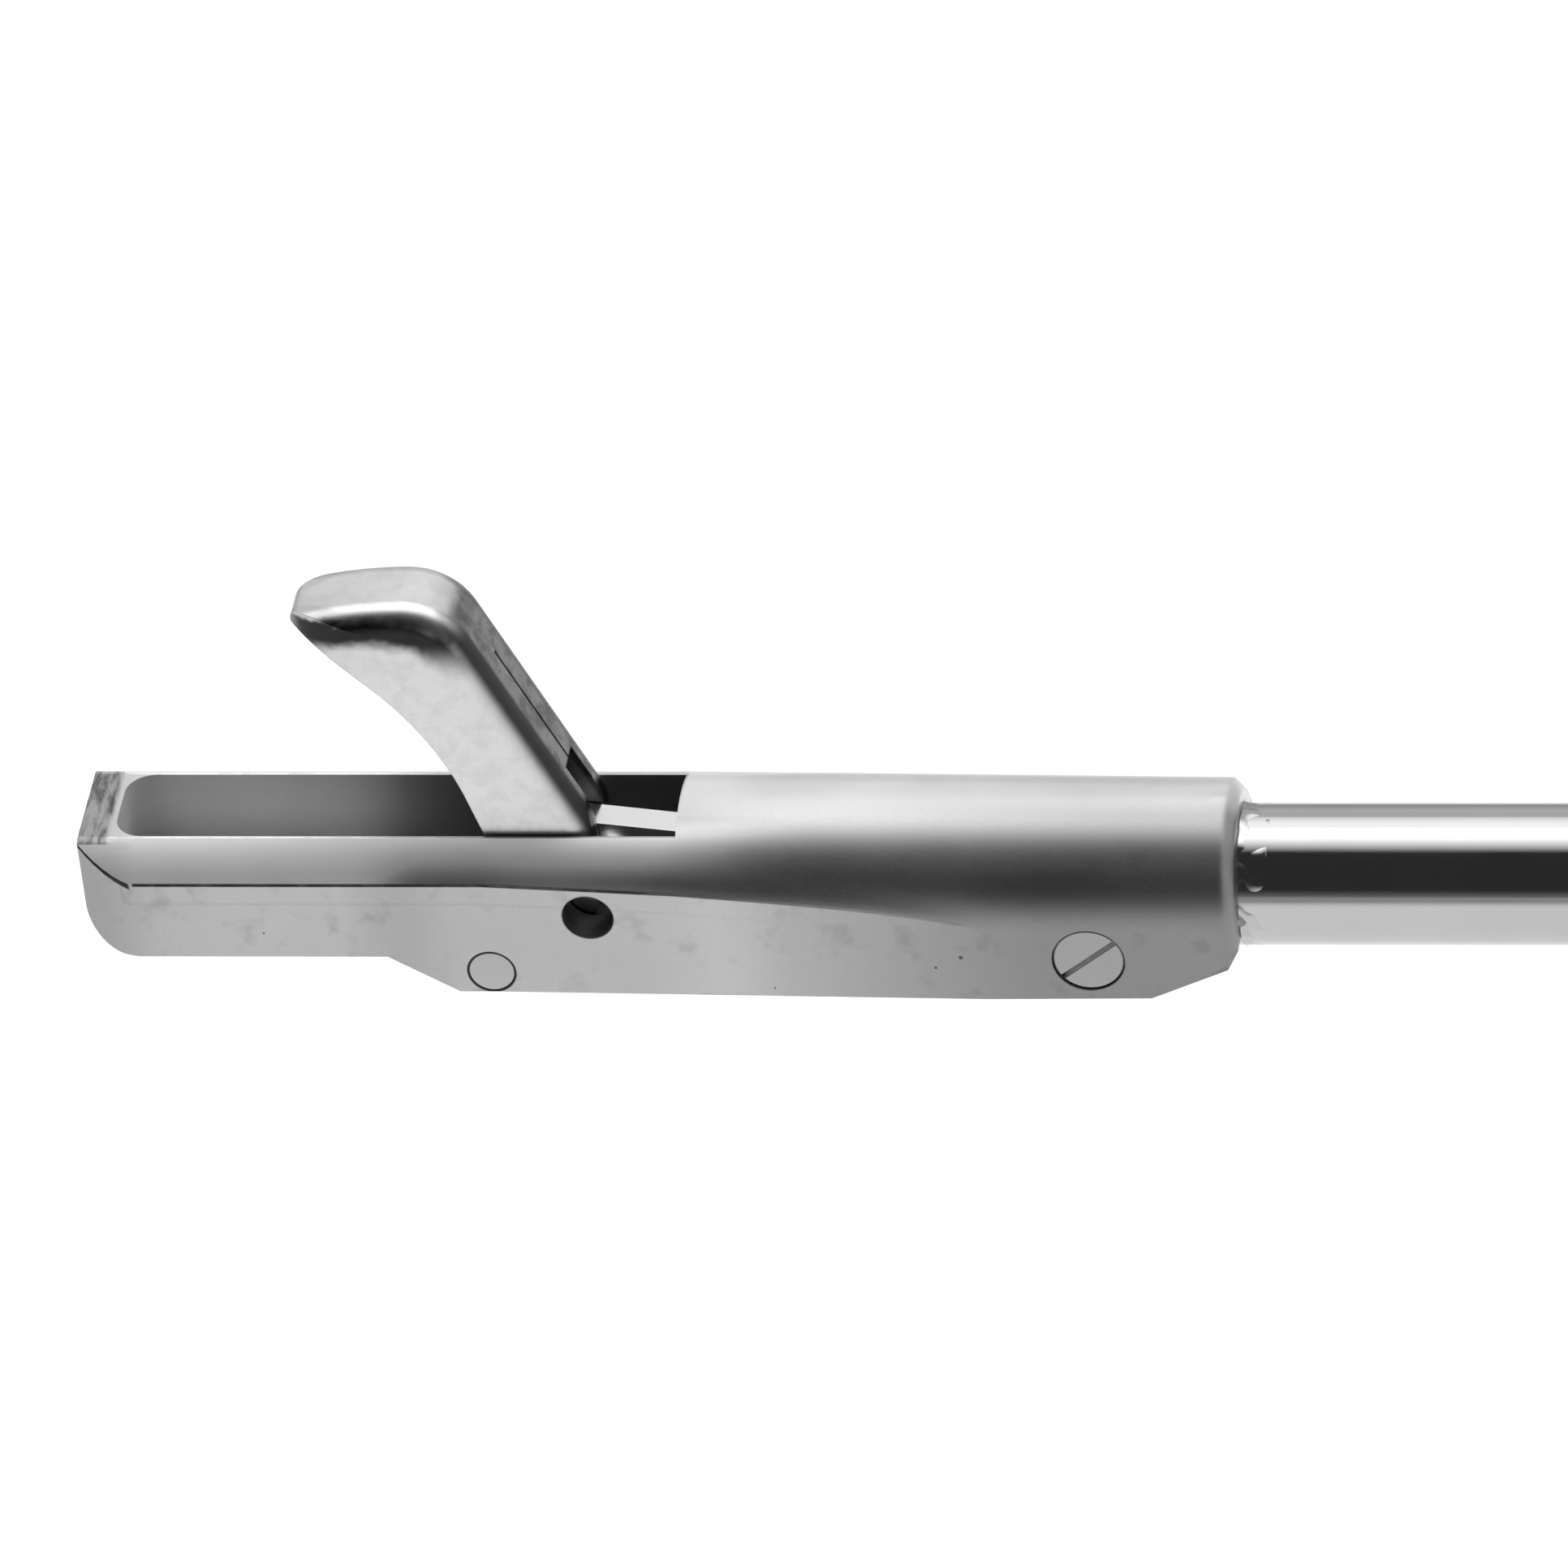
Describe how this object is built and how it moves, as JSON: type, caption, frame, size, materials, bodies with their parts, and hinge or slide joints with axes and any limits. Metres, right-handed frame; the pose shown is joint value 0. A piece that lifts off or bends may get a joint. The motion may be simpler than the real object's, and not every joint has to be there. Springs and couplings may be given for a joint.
{
  "type": "biopsy punch",
  "caption": "Long-shafted biopsy punch: a hinged upper jaw bites into a windowed head, worked by a rod, blade and ring-handled lever.",
  "frame": {"origin": "on the shaft's axis at the rear face of the head", "axes": "+X along the shaft to the handle, +Z the way the jaw opens, Y across"},
  "size_m": [0.3034, 0.013, 0.1069],
  "materials": {
    "satin_steel": "satin",
    "polished_steel": "polished",
    "handle_steel": "satin",
    "ground_steel": "ground",
    "silver_braze": "cast",
    "bronze": "machined"
  },
  "bodies": {
    "frame": {"jaw_head": "satin_steel", "jaw_pivot_pin": "ground_steel", "stop_screw": "ground_steel", "shaft_tube": "polished_steel", "braze_collar": "silver_braze", "shaft_gland_nut": "ground_steel", "gland_ferrule": "bronze", "rod_guide_bush": "bronze", "finger_handle": "handle_steel", "tube_set_screw": "ground_steel", "lever_pivot_screw": "ground_steel", "lever_cap_nut": "ground_steel", "friction_washer_near": "bronze", "friction_washer_far": "bronze"},
    "rod": {"drive_rod": "ground_steel", "drive_blade": "ground_steel", "blade_rivet_front": "ground_steel", "blade_rivet_rear": "ground_steel", "rod_tongue": "ground_steel", "rod_cross_pin": "ground_steel", "rod_lock_nut": "ground_steel"},
    "jaw": {"upper_jaw": "satin_steel", "drive_pin": "ground_steel"},
    "lever": {"thumb_lever": "handle_steel", "lever_bush": "bronze"}
  },
  "joints": [
    {"name": "lever_pivot", "type": "hinge", "parent": "frame", "child": "lever", "pos_m": [0.214, 0, 0.0105], "axis": [0, 1, 0], "range_deg": [0, 16.93]},
    {"name": "rod_slide", "type": "slide", "parent": "frame", "child": "rod", "axis": [-1, 0, 0], "range_m": [0, 0.00313]},
    {"name": "jaw_pivot", "type": "hinge", "parent": "frame", "child": "jaw", "pos_m": [-0.024, 0, -0.00182], "axis": [0, -1, 0], "range_deg": [0, 46]}
  ],
  "couplings": [
    {"joint": "rod_slide", "follows": "lever_pivot", "m_per_rad": 0.010578},
    {"joint": "jaw_pivot", "follows": "lever_pivot", "ratio": 2.7167}
  ]
}
